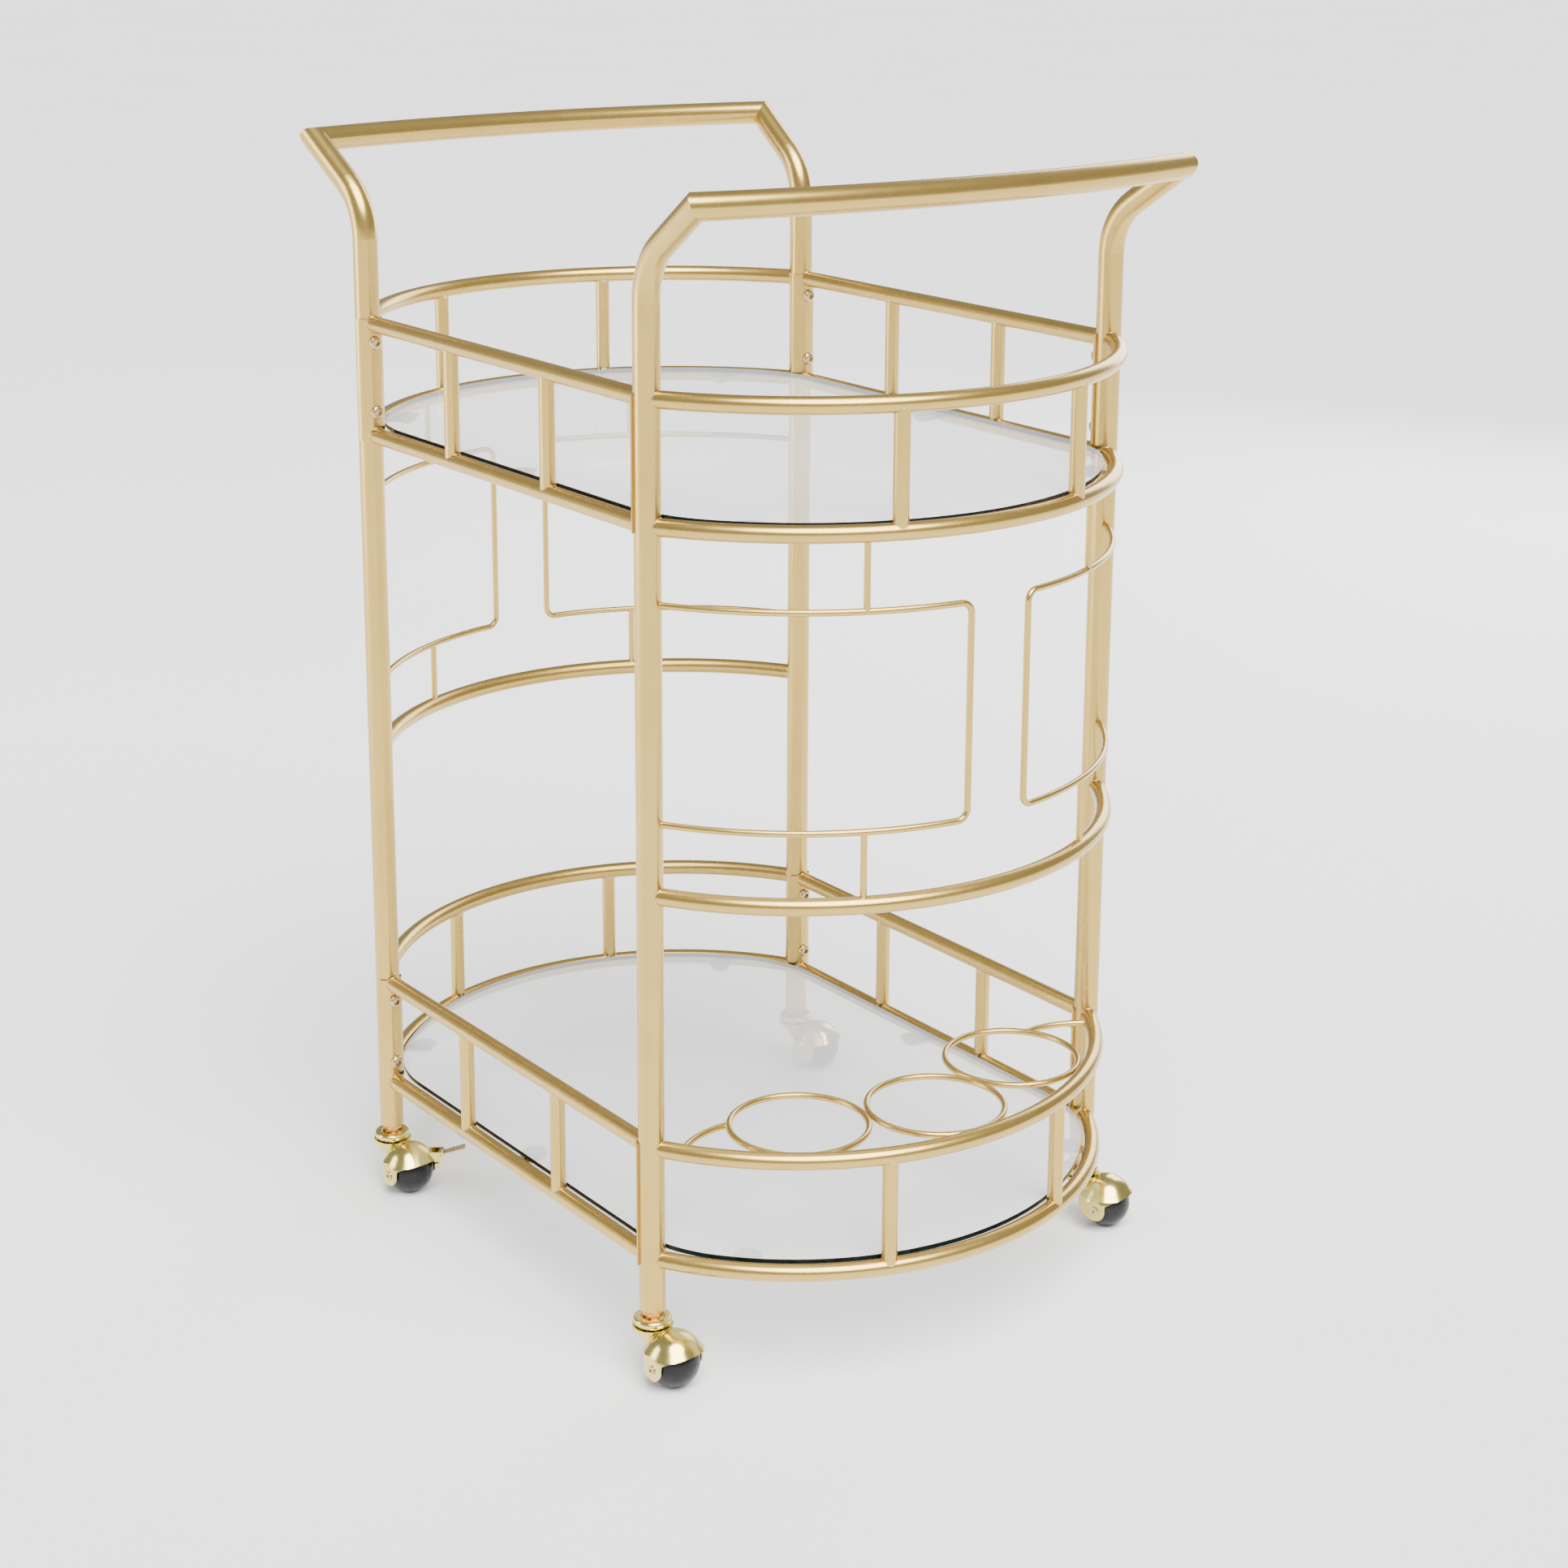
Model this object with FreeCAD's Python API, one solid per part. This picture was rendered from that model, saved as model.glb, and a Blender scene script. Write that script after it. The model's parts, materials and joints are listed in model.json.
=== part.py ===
import FreeCAD, Part
import math
import os

# Two-tier bar cart on ball casters.
# X runs along the cart, from the plain end (left) to the bottle-ring end (right).
# Y runs across it, from the front (negative) to the back. Z is up from the floor.
# The origin is on the floor at the middle of the cart. All sizes are in millimetres.

# ---- overall layout ----
post_spacing_x = 382.0      # between the post axes along the cart
post_spacing_y = 416.0      # between the post axes across the cart
bow_rise = 124.0            # how far each bowed end stands out past the post axes
handle_z = 851.0            # centre line of the handle bars

# ---- heights of the rail centre lines above the floor ----
upper_gallery_z = 717.0
upper_shelf_z = 630.0
panel_top_z = 576.0
panel_bottom_z = 420.0
mid_rail_z = 367.0
lower_gallery_z = 177.0
lower_shelf_z = 91.0

# ---- tube and wire ----
post_d = 19.0
post_wall = 1.5
rail_d = 12.7
rail_wall = 1.2
baluster_d = 11.5
baluster_wall = 1.0
wire_d = 4.8

# ---- posts and handles ----
post_end_round = 1.2
bend_radius = 48.0
bend_angle = 56.0           # degrees from vertical
handle_reach = 65.0         # outward from the post axis to the mitre
handle_splay = 5.0          # sideways from the post axis to the mitre
handle_bow = 28.0           # rise of the handle's own curve

# ---- balusters and panel wires ----
baluster_x = 66.0           # side balusters, from the middle of the cart
baluster_angle = 19.5       # end balusters, around the bow
stud_angle = 25.0           # short studs of the wire panel, around the bow
panel_gap = 51.0            # between the two upright wires of a panel
panel_corner_r = 8.0

# ---- saddles, bolts and inserts ----
saddle_t = 1.6
saddle_half_angle = 76.0
saddle_overlap = 4.0        # how far a saddle runs past the rail centre lines
bolt_drop = 14.3            # upper bolt below the gallery rail
bolt_rise = 18.5            # lower bolt above the shelf rail
bolt_d = 6.0
bolt_length = 16.0
bolt_head_d = 10.6
bolt_head_h = 3.2
bolt_head_round = 2.5
bolt_socket_d = 4.6
bolt_socket_depth = 2.0
bolt_hole_clearance = 0.3
insert_d = 9.0
insert_length = 11.0
thread_clearance = 0.05

# ---- glass shelves, tabs and pads ----
glass_t = 4.0
glass_top_rise = 6.4        # glass top above the shelf rail's centre line
glass_gap = 1.65            # between the shelf rail and the glass edge
glass_post_gap = 1.8        # between the saddle and the glass corner
glass_edge_round = 0.5
pad_inset = 20.0            # pad centre inside the shelf rail's centre line
pad_angle = 45.0            # end pads, around the bow
pad_d = 20.0
pad_t = 3.0
pad_dish = 0.8
pad_stem_d = 4.6
pad_button_d = 8.0
pad_button_t = 1.5
tab_width = 14.0
tab_t = 2.0
tab_root = 3.0              # inner end of a tab, inside the rail it is welded to
tab_hole_clearance = 0.2

# ---- bottle rings ----
ring_outer_d = 106.4
arm_from_post = 23.0        # along the bow, from the post axis to the arm's end
arm_ring_angle = 126.5      # where it meets its ring, around the ring
arm_bulge = 6.0

# ---- casters ----
ball_d = 38.0
axle_d = 4.0
axle_clearance = 0.05
rivet_head_d = 6.6
rivet_head_t = 1.2
rivet_dimple_d = 2.6
rivet_dimple_depth = 1.6
hood_wall = 1.2
hood_gap = 2.0              # between the ball and the inside of the dome
strap_gap = 0.7             # between the ball and the straps at its sides
hood_lift = 1.0             # dome centre above the ball centre
dome_setback = 1.3          # swivel axis behind the dome's back face
tongue_r = 8.5
tongue_back_angle = 225.0   # where the tongue's round bottom ends, from its front
notch_height = 5.1          # where the lip meets the tongue, above the ball centre
visor_rise = 13.0           # where the flare starts, above the dome centre
visor_recess = 0.4          # flare's lowest circle inside the dome's radius
lip_recess = 1.5            # front lip behind the dome's front face
lip_height = 10.5           # front lip above the ball centre
lip_drop = 1.5              # flare's lowest circle below the front lip
lip_flare = 2.0
lip_bend_reach = 3.5        # the lip's curve: ahead of the tongue
lip_bend_height = 7.6       # and above the ball centre
race_r = 15.0
race_t = 2.4
race_gap = 0.5
race_sink = 1.2             # underside of the lower race below the ball's top
cap_r = 14.2
cap_t = 5.8
cap_round = 2.2
dish_low_d = 15.8
dish_top_d = 18.5
dish_depth = 1.6
bearing_pitch_r = 10.5
bearing_ball_d = 3.0
bearing_ball_count = 12
bearing_clearance = 0.1
neck_wall = 1.4
neck_mid_r = 10.5
neck_mid_x = 6.5            # ahead of the swivel axis
neck_mid_drop = 9.8         # below the lower race
neck_low_r = 9.5
neck_low_back = 10.5        # behind the ball centre
neck_low_drop = 2.0         # below the ball centre
stem_d = 8.0
stem_clearance = 0.1
stem_in_post = 24.0
stem_head_d = 12.0
stem_head_t = 2.4
stem_head_gap = 0.3
collar_across_flats = 13.0
collar_height = 5.5         # from the race cap's top to the post
plug_length = 18.0
trail_angles = {            # the way each caster points at rest, degrees from +X
    "left_front": 6.0,
    "right_front": 6.0,
    "left_back": 21.0,
    "right_back": 21.0,
}

# ---- brake on the left front caster ----
brake_caster = "left_front"
brake_azimuth = 50.0        # around the ball, from the trailing direction
brake_plate_t = 1.2
brake_plate_width = 11.0
brake_ear_t = 1.0
brake_ear_reach = 5.6       # ears beyond the hood
brake_ear_bottom = 8.0      # above the ball centre
brake_ear_top = 16.0
brake_pin_d = 2.0
brake_pin_reach = 3.6       # pin beyond the hood
brake_pin_z = 13.2          # above the ball centre
brake_hub_d = 4.2
brake_side_clearance = 0.3
brake_pin_clearance = 0.05
pedal_length = 20.0
pedal_rise = 5.5
pedal_t = 1.2
leg_bottom = 2.0            # above the ball centre
leg_offset = 1.2            # leg beyond the hood
leg_taper = 1.0
leg_step = 0.6
shoe_gap = 1.9
shoe_height = 3.0
shoe_blend = 1.0

# ---- working values ----
bore_allowance = 1.0        # lets a cutter run past the face that it cuts
match_tolerance = 0.001
halvings = 40
hex_sides = 6

# ---- worked out from the sizes above ----
half_x = post_spacing_x / 2
half_y = post_spacing_y / 2
bow_radius = (half_y ** 2 + bow_rise ** 2) / (2 * bow_rise)
bow_centre_x = half_x + bow_rise - bow_radius
bow_half_angle = math.degrees(math.atan2(half_y, half_x - bow_centre_x))
mitre_block = 6 * post_d    # cutting block used at the mitres
glass_inset = rail_d / 2 + glass_gap
arm_rail_angle = bow_half_angle - math.degrees(arm_from_post / bow_radius)
glass_top_z = {"upper": upper_shelf_z + glass_top_rise, "lower": lower_shelf_z + glass_top_rise}
shelf_z = {"upper": upper_shelf_z, "lower": lower_shelf_z}
gallery_z = {"upper": upper_gallery_z, "lower": lower_gallery_z}
ball_z = ball_d / 2
dome_z = ball_z + hood_lift
hood_r = ball_z + hood_gap + hood_wall
hood_half_width = ball_z + strap_gap + hood_wall
caster_trail = hood_r + dome_setback
lip_reach = hood_r - lip_recess
race_bottom_z = ball_d - race_sink
race_top_z = race_bottom_z + race_t
cap_bottom_z = race_top_z + race_gap
cap_top_z = cap_bottom_z + cap_t
post_bottom_z = cap_top_z + collar_height
neck_mid_z = race_bottom_z - neck_mid_drop
neck_low_x = caster_trail - neck_low_back
neck_low_z = ball_z - neck_low_drop
bearing_z = (cap_bottom_z + race_top_z) / 2
corners = {
    "left_front": (-1, -1),
    "right_front": (1, -1),
    "left_back": (-1, 1),
    "right_back": (1, 1),
}


# ---------------------------------------------------------------- helpers

def vec(x, y, z):
    return FreeCAD.Vector(x, y, z)


Z_AXIS = vec(0, 0, 1)


def rod(start, end, diameter):
    """A solid round bar between two points."""
    along = end - start
    return Part.makeCylinder(diameter / 2, along.Length, start, along)


def disc(centre, normal, diameter):
    """A flat round face."""
    return Part.Face(Part.Wire(Part.Circle(centre, normal, diameter / 2).toShape()))


def arc_bar(centre, radius, from_angle, to_angle, diameter):
    """A round bar bent to a level arc about a vertical axis. Angles in degrees from +X."""
    a = math.radians(from_angle)
    start = centre + vec(radius * math.cos(a), radius * math.sin(a), 0)
    tangent = vec(-math.sin(a), math.cos(a), 0)
    return disc(start, tangent, diameter).revolve(centre, Z_AXIS, to_angle - from_angle)


def swept_bar(edges, diameter):
    """A round bar along a smooth path of lines and arcs."""
    path = Part.Wire(edges)
    first = edges[0]
    start = first.valueAt(first.FirstParameter)
    tangent = first.tangentAt(first.FirstParameter)
    profile = Part.Wire(Part.Circle(start, tangent, diameter / 2).toShape())
    return path.makePipeShell([profile], True, False)


def bent_bar(start, middle, end, diameter):
    """A round bar bent to the arc through three points."""
    edge = Part.Arc(start, middle, end).toShape()
    tangent = edge.tangentAt(edge.FirstParameter)
    turn = math.degrees(edge.LastParameter - edge.FirstParameter)
    return disc(start, tangent, diameter).revolve(edge.Curve.Center, edge.Curve.Axis, turn)


def hexagon(across_flats):
    """Corners of a hexagon, the first one repeated, as distances along two directions."""
    corner_r = across_flats / math.sqrt(3)
    turns = [2 * math.pi * index / hex_sides for index in range(hex_sides + 1)]
    return [(corner_r * math.cos(a), corner_r * math.sin(a)) for a in turns]


def box_between(low, high):
    return Part.makeBox(high.x - low.x, high.y - low.y, high.z - low.z, low)


def mirror_x(shape):
    return shape.mirror(vec(0, 0, 0), vec(1, 0, 0))


def mirror_y(shape):
    return shape.mirror(vec(0, 0, 0), vec(0, 1, 0))


def placed(shape, corner):
    """A piece made for the right front corner, moved to another corner by mirroring."""
    side_x, side_y = corner
    if side_x < 0:
        shape = mirror_x(shape)
    if side_y > 0:
        shape = mirror_y(shape)
    return shape


def solids_of(shapes):
    found = []
    for shape in shapes:
        found.extend(shape.Solids)
    return found


def write(name, *shapes):
    """One node: its solids stay separate in one file."""
    Part.makeCompound(solids_of(shapes)).exportStep(f"parts/{name}.step")


# ---------------------------------------------------------------- posts and handles

def post_axis_point(z):
    return vec(half_x, -half_y, z)


def post_envelope(grow=0.0):
    """The straight part of the right front post, as a solid used for coping."""
    return rod(post_axis_point(0), post_axis_point(handle_z - bend_radius), post_d + 2 * grow)


def both_envelopes(grow=0.0):
    front = post_envelope(grow)
    return front.fuse(mirror_y(front))


def bend_geometry():
    """Key points of the right front post's bend, and the direction of its straight end."""
    run = math.hypot(handle_reach, handle_splay)
    out = vec(handle_reach / run, -handle_splay / run, 0)
    t = math.radians(bend_angle)
    straight = (run - bend_radius * (1 - math.cos(t))) / math.sin(t)
    rise = bend_radius * math.sin(t) + straight * math.cos(t)
    start = post_axis_point(handle_z - rise)

    def on_arc(angle):
        across = out * (bend_radius * (1 - math.cos(angle)))
        return start + across + Z_AXIS * (bend_radius * math.sin(angle))

    direction = out * math.sin(t) + Z_AXIS * math.cos(t)
    mitre = on_arc(t) + direction * straight
    return start, on_arc(t / 2), on_arc(t), direction, mitre


def handle_circle():
    """Centre, radius and half angle of a handle bar's curve, for the right end."""
    half_chord = half_y + handle_splay
    radius = (half_chord ** 2 + handle_bow ** 2) / (2 * handle_bow)
    centre = vec(half_x + handle_reach + handle_bow - radius, 0, handle_z)
    return centre, radius, math.degrees(math.asin(half_chord / radius))


def mitre_cutter(side):
    """A block on one side of the mitre plane between the right front post and its handle."""
    _, _, _, direction, mitre = bend_geometry()
    _, _, half_angle = handle_circle()
    a = math.radians(half_angle)
    along_handle = vec(math.sin(a), math.cos(a), 0)
    normal = (direction * -1 - along_handle).normalize() * side
    block = Part.makeBox(mitre_block, mitre_block, mitre_block)
    block.translate(vec(-mitre_block / 2, -mitre_block / 2, 0))
    block.Placement = FreeCAD.Placement(mitre, FreeCAD.Rotation(Z_AXIS, normal)).multiply(block.Placement)
    return block


def bolt_heights():
    heights = []
    for tier in ("upper", "lower"):
        heights.append(gallery_z[tier] - bolt_drop)
        heights.append(shelf_z[tier] + bolt_rise)
    return heights


def insert_hole(z):
    """The hole in the inward side of the right front post for one threaded insert."""
    axis = post_axis_point(z)
    return rod(axis, axis - vec(post_d / 2 + bore_allowance, 0, 0), insert_d)


def make_post():
    start, middle, end, direction, mitre = bend_geometry()
    beyond = mitre + direction * post_d * 2
    edges = [
        Part.makeLine(post_axis_point(post_bottom_z), start),
        Part.Arc(start, middle, end).toShape(),
        Part.makeLine(end, beyond),
    ]
    outside = swept_bar(edges, post_d)
    foot = [e for e in outside.Edges if e.BoundBox.ZMax < post_bottom_z + post_end_round / 2]
    post = outside.makeFillet(post_end_round, foot).cut(swept_bar(edges, post_d - 2 * post_wall))
    post = post.cut(mitre_cutter(-1))
    for z in bolt_heights():
        post = post.cut(insert_hole(z))
    return post


def make_handle():
    centre, radius, half_angle = handle_circle()
    extra = math.degrees(post_d * 2 / radius)
    outer = arc_bar(centre, radius, -half_angle - extra, half_angle + extra, post_d)
    inner = arc_bar(centre, radius, -half_angle - extra, half_angle + extra, post_d - 2 * post_wall)
    cutter = mitre_cutter(1)
    return outer.cut(inner).cut(cutter).cut(mirror_y(cutter))


# ---------------------------------------------------------------- bowed end rails

def bow_centre(z):
    return vec(bow_centre_x, 0, z)


def bow_point(angle, z, radius=bow_radius):
    a = math.radians(angle)
    return bow_centre(z) + vec(radius * math.cos(a), radius * math.sin(a), 0)


def bow_solid(z, diameter):
    """A bowed bar from post axis to post axis, before coping."""
    return arc_bar(bow_centre(z), bow_radius, -bow_half_angle, bow_half_angle, diameter)


def make_bow_rail(z):
    tube = bow_solid(z, rail_d).cut(bow_solid(z, rail_d - 2 * rail_wall))
    return tube.cut(both_envelopes())


def upright_tube(point, low_z, high_z, diameter, wall):
    low = vec(point.x, point.y, low_z)
    high = vec(point.x, point.y, high_z)
    tube = rod(low, high, diameter)
    if wall:
        tube = tube.cut(rod(low, high, diameter - 2 * wall))
    return tube


def make_bow_balusters():
    """The four coped balusters of one bowed end."""
    made = []
    for tier in ("upper", "lower"):
        for angle in (-baluster_angle, baluster_angle):
            point = bow_point(angle, 0)
            tube = upright_tube(point, shelf_z[tier], gallery_z[tier], baluster_d, baluster_wall)
            tube = tube.cut(bow_solid(shelf_z[tier], rail_d)).cut(bow_solid(gallery_z[tier], rail_d))
            made.append(tube)
    return made


# ---------------------------------------------------------------- wire panels of the ends

def panel_stop_angle():
    """Where a panel wire leaves the bow to turn its corner."""
    return math.degrees(math.asin((panel_gap / 2 + panel_corner_r) / bow_radius))


def corner_arc(entry, level, upright):
    """A quarter turn between a level direction and the vertical."""
    centre = entry + upright * panel_corner_r
    leave = centre + level * panel_corner_r
    middle = centre + (level - upright).normalize() * panel_corner_r
    return bent_bar(entry, middle, leave, wire_d), leave


def make_panel_wire():
    """The front bracket-shaped wire of a panel: in along the bow, down, and back out."""
    stop = -panel_stop_angle()
    a = math.radians(stop)
    inward = vec(-math.sin(a), math.cos(a), 0)
    top_end = bow_point(stop, panel_top_z)
    bottom_end = bow_point(stop, panel_bottom_z)
    top_corner, down_from = corner_arc(top_end, inward, Z_AXIS * -1)
    bottom_corner, down_to = corner_arc(bottom_end, inward, Z_AXIS)
    middle = (stop - bow_half_angle) / 2
    pieces = [
        arc_bar(bow_centre(panel_top_z), bow_radius, -bow_half_angle, stop, wire_d),
        top_corner,
        rod(down_from, down_to, wire_d),
        bottom_corner,
        arc_bar(bow_centre(panel_bottom_z), bow_radius, -bow_half_angle, stop, wire_d),
    ]
    wire = pieces[0]
    for piece in pieces[1:]:
        wire = wire.fuse(piece)
    return wire.cut(post_envelope())


def make_panel_studs():
    """The four short studs that tie the two wires of one panel to the rails."""
    made = []
    spans = ((panel_top_z, upper_shelf_z), (mid_rail_z, panel_bottom_z))
    for low, high in spans:
        for angle in (-stud_angle, stud_angle):
            stud = upright_tube(bow_point(angle, 0), low, high, wire_d, 0)
            for z in (low, high):
                diameter = rail_d if z in (upper_shelf_z, mid_rail_z) else wire_d
                stud = stud.cut(bow_solid(z, diameter))
            made.append(stud)
    return made


# ---------------------------------------------------------------- side ladders

def side_rail_solid(z):
    return rod(vec(-half_x, -half_y, z), vec(half_x, -half_y, z), rail_d)


def make_side_rail(z):
    """A straight rail of the front side, coped to the saddles at both ends."""
    bore = rod(vec(-half_x, -half_y, z), vec(half_x, -half_y, z), rail_d - 2 * rail_wall)
    saddle_envelope = post_envelope(saddle_t)
    return side_rail_solid(z).cut(bore).cut(saddle_envelope).cut(mirror_x(saddle_envelope))


def make_side_balusters():
    """The four coped balusters of the front side."""
    made = []
    for tier in ("upper", "lower"):
        for x in (-baluster_x, baluster_x):
            point = vec(x, -half_y, 0)
            tube = upright_tube(point, shelf_z[tier], gallery_z[tier], baluster_d, baluster_wall)
            tube = tube.cut(side_rail_solid(shelf_z[tier])).cut(side_rail_solid(gallery_z[tier]))
            made.append(tube)
    return made


def make_saddle(tier):
    """The half-round plate that joins a ladder to the right front post."""
    low = shelf_z[tier] - saddle_overlap
    high = gallery_z[tier] + saddle_overlap
    start = post_axis_point(low)
    end = post_axis_point(high)
    shell = rod(start, end, post_d + 2 * saddle_t).cut(rod(start, end, post_d))
    edge = (post_d / 2) * math.cos(math.radians(saddle_half_angle))
    keep = box_between(start - vec(post_d, post_d, 0), end + vec(-edge, post_d, 0))
    shell = shell.common(keep)
    for z in (gallery_z[tier] - bolt_drop, shelf_z[tier] + bolt_rise):
        axis = post_axis_point(z)
        shell = shell.cut(rod(axis, axis - vec(post_d, 0, 0), bolt_d + 2 * bolt_hole_clearance))
    return shell


def make_bolt(z):
    """A button-head bolt through a saddle into the right front post, pointing outward."""
    seat = post_axis_point(z) - vec(post_d / 2 + saddle_t, 0, 0)
    inward = vec(-1, 0, 0)
    head = Part.makeCylinder(bolt_head_d / 2, bolt_head_h, seat, inward)
    rim = [e for e in head.Edges if e.BoundBox.XMax < seat.x - bolt_head_h / 2 and e.Length > bolt_head_d]
    head = head.makeFillet(bolt_head_round, rim)
    socket_start = seat + inward * (bolt_head_h - bolt_socket_depth)
    points = [socket_start + vec(0, across, up) for across, up in hexagon(bolt_socket_d)]
    socket = Part.Face(Part.makePolygon(points)).extrude(inward * (bolt_socket_depth + bore_allowance))
    shank = rod(seat, seat - inward * bolt_length, bolt_d)
    return head.cut(socket).fuse(shank)


def make_insert(z):
    """The threaded insert that the bolt screws into, set in the post's inward wall."""
    axis = post_axis_point(z)
    outer_face = axis - vec(post_d / 2, 0, 0)
    inner_face = outer_face + vec(insert_length, 0, 0)
    body = rod(outer_face, inner_face, insert_d).common(post_envelope())
    return body.cut(rod(outer_face, inner_face, bolt_d + 2 * thread_clearance))


# ---------------------------------------------------------------- glass shelves

def glass_corner_radius():
    """The corner radius, between side and bow, that leaves the wanted gap at the saddle."""
    edge_y = half_y - glass_inset
    edge_r = bow_radius - glass_inset
    wanted = post_d / 2 + saddle_t + glass_post_gap
    small = 0.0
    large = edge_y
    for _ in range(halvings):
        radius = (small + large) / 2
        centre_y = edge_y - radius
        centre_x = bow_centre_x + math.sqrt((edge_r - radius) ** 2 - centre_y ** 2)
        if math.hypot(half_x - centre_x, half_y - centre_y) - radius < wanted:
            small = radius
        else:
            large = radius
    return large


def make_glass(tier):
    top = glass_top_z[tier]
    bottom = top - glass_t
    edge_y = half_y - glass_inset
    edge_r = bow_radius - glass_inset
    corner_x = bow_centre_x + math.sqrt(edge_r ** 2 - edge_y ** 2)
    apex_x = bow_centre_x + edge_r
    right_front = vec(corner_x, -edge_y, bottom)
    right_back = vec(corner_x, edge_y, bottom)
    left_front = vec(-corner_x, -edge_y, bottom)
    left_back = vec(-corner_x, edge_y, bottom)
    outline = Part.Wire([
        Part.makeLine(left_front, right_front),
        Part.Arc(right_front, vec(apex_x, 0, bottom), right_back).toShape(),
        Part.makeLine(right_back, left_back),
        Part.Arc(left_back, vec(-apex_x, 0, bottom), left_front).toShape(),
    ])
    pane = Part.Face(outline).extrude(Z_AXIS * glass_t)
    corner_edges = [e for e in pane.Edges if e.BoundBox.ZLength > glass_t / 2]
    pane = pane.makeFillet(glass_corner_radius(), corner_edges)
    rim = [e for e in pane.Edges if e.BoundBox.ZLength < glass_t / 2]
    return pane.makeFillet(glass_edge_round, rim)


def pad_places():
    """Where each pad stands: a point on the rail's centre line and the inward direction."""
    places = []
    for side in (-1, 1):
        places.append((vec(0, side * half_y, 0), vec(0, -side, 0)))
        for end in (-1, 1):
            point = bow_point(side * pad_angle, 0)
            a = math.radians(side * pad_angle)
            places.append((vec(end * point.x, point.y, 0), vec(-end * math.cos(a), -math.sin(a), 0)))
    return places


def shelf_rail_solids(tier):
    """The four rails around one shelf, as solids used for coping."""
    z = shelf_z[tier]
    bow = bow_solid(z, rail_d)
    side = side_rail_solid(z)
    return [bow, mirror_x(bow), side, mirror_y(side)]


def pad_bottom_z(tier):
    return glass_top_z[tier] - glass_t - pad_t


def make_tab(tier, place):
    """A small plate from the shelf rail to a pad, with a hole for the pad's stem."""
    point, inward = place
    top = pad_bottom_z(tier)
    centre = point + inward * pad_inset + Z_AXIS * (top - tab_t)
    plate = box_between(vec(tab_root, -tab_width / 2, 0), vec(pad_inset, tab_width / 2, tab_t))
    turn = FreeCAD.Rotation(vec(1, 0, 0), inward)
    plate.Placement = FreeCAD.Placement(point + Z_AXIS * (top - tab_t), turn)
    tab = plate.fuse(Part.makeCylinder(tab_width / 2, tab_t, centre))
    hole_r = pad_stem_d / 2 + tab_hole_clearance
    tab = tab.cut(Part.makeCylinder(hole_r, tab_t, centre))
    for rail in shelf_rail_solids(tier):
        tab = tab.cut(rail)
    return tab


def make_pad(tier, place):
    """A clear suction pad: a dished disc, a stem through the tab and a button below."""
    point, inward = place
    bottom = pad_bottom_z(tier)
    centre = point + inward * pad_inset
    profile = [
        vec(0, 0, bottom - tab_t - pad_button_t),
        vec(pad_button_d / 2, 0, bottom - tab_t - pad_button_t),
        vec(pad_button_d / 2, 0, bottom - tab_t),
        vec(pad_stem_d / 2, 0, bottom - tab_t),
        vec(pad_stem_d / 2, 0, bottom),
        vec(tab_width / 2, 0, bottom),
        vec(pad_d / 2, 0, bottom + pad_t - pad_dish),
        vec(pad_d / 2, 0, bottom + pad_t),
        vec(pad_d / 2 - pad_dish, 0, bottom + pad_t),
        vec(0, 0, bottom + pad_t - pad_dish),
        vec(0, 0, bottom - tab_t - pad_button_t),
    ]
    pad = Part.Face(Part.makePolygon(profile)).revolve(vec(0, 0, 0), Z_AXIS, 360)
    pad.translate(vec(centre.x, centre.y, 0))
    return pad


# ---------------------------------------------------------------- bottle rings

def ring_orbit():
    """Radius, about the bow's centre, on which the ring centres lie."""
    return bow_radius - rail_d / 2 - ring_outer_d / 2


def ring_step():
    """Angle between neighbouring rings, so that they just meet."""
    return math.degrees(2 * math.asin(ring_outer_d / 2 / ring_orbit()))


def ring_centre(index):
    return bow_point(index * ring_step(), lower_gallery_z, ring_orbit())


def make_ring(index):
    return Part.makeTorus((ring_outer_d - wire_d) / 2, wire_d / 2, ring_centre(index))


def make_ring_arm():
    """The curved wire from the bowed rail, near the front post, to the first ring."""
    start = bow_point(-arm_rail_angle, lower_gallery_z)
    a = math.radians(-arm_ring_angle)
    ring_r = (ring_outer_d - wire_d) / 2
    end = ring_centre(-1) + vec(ring_r * math.cos(a), ring_r * math.sin(a), 0)
    chord = (end - start).normalize()
    middle = (start + end) * 0.5 + vec(-chord.y, chord.x, 0) * arm_bulge
    arm = bent_bar(start, middle, end, wire_d)
    arm = arm.cut(bow_solid(lower_gallery_z, rail_d)).cut(make_ring(-1))
    return max(arm.Solids, key=lambda solid: solid.Volume)


# ---------------------------------------------------------------- casters
# A caster is made with its swivel axis on Z and its ball trailing towards +X.

def hood_round(radius, low_z):
    """A dome over a cylinder, flared where the lip starts, round about its upright axis."""
    dome_centre = vec(caster_trail, 0, dome_z)
    form = Part.makeSphere(radius, dome_centre)
    flare_low = ball_z + lip_height - lip_drop
    flare_top_r = math.sqrt(radius ** 2 - visor_rise ** 2)
    flare_height = dome_z + visor_rise - flare_low
    flare_base = vec(caster_trail, 0, flare_low)
    form = form.fuse(Part.makeCone(radius - visor_recess, flare_top_r, flare_height, flare_base))
    return form.fuse(Part.makeCylinder(radius, dome_z - low_z, vec(caster_trail, 0, low_z)))


def hood_form(radius, half_width, low_z):
    """The same form, flattened on both sides."""
    form = hood_round(radius, low_z)
    slab = box_between(
        vec(caster_trail - 2 * radius, -half_width, low_z - radius),
        vec(caster_trail + 2 * radius, half_width, dome_z + 2 * radius),
    )
    return form.common(slab)


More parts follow.
